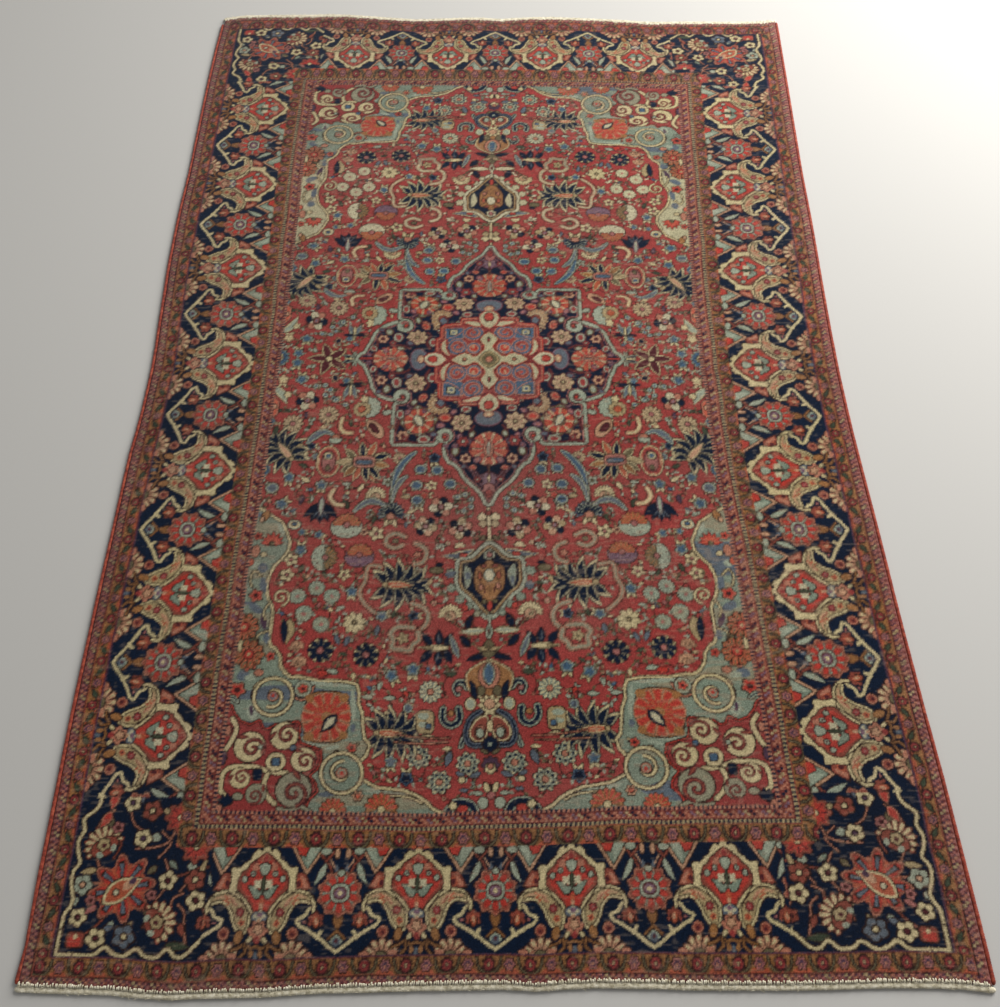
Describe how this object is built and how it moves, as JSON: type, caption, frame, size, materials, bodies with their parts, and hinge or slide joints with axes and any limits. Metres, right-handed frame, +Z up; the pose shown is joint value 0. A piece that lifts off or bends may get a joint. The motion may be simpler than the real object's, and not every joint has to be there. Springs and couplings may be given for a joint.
{
  "type": "persian rug",
  "caption": "Flat hand-knotted wool rug with a lobed medallion, corner pieces and floral borders, red overcast sides and cream cotton end bindings.",
  "frame": {"origin": "on the floor under the middle of the rug's bounding box", "axes": "+Y along the rug's length, from the near end to the far end; +X across its width; +Z up through the pile"},
  "size_m": [1.318, 2.1178, 0.0077],
  "materials": {
    "pile_wool": "short cut wool pile, worn, madder red with navy, rust, cream and grey-blue",
    "selvedge_wool": "bright red wool yarn, overcast round the edge",
    "binding_cotton": "undyed cream cotton thread, overcast, slightly fuzzy"
  },
  "bodies": {
    "root": {"rug_body": "pile_wool", "selvedge_left": "selvedge_wool", "selvedge_right": "selvedge_wool", "end_binding_near": "binding_cotton", "end_binding_far": "binding_cotton"}
  },
  "joints": []
}
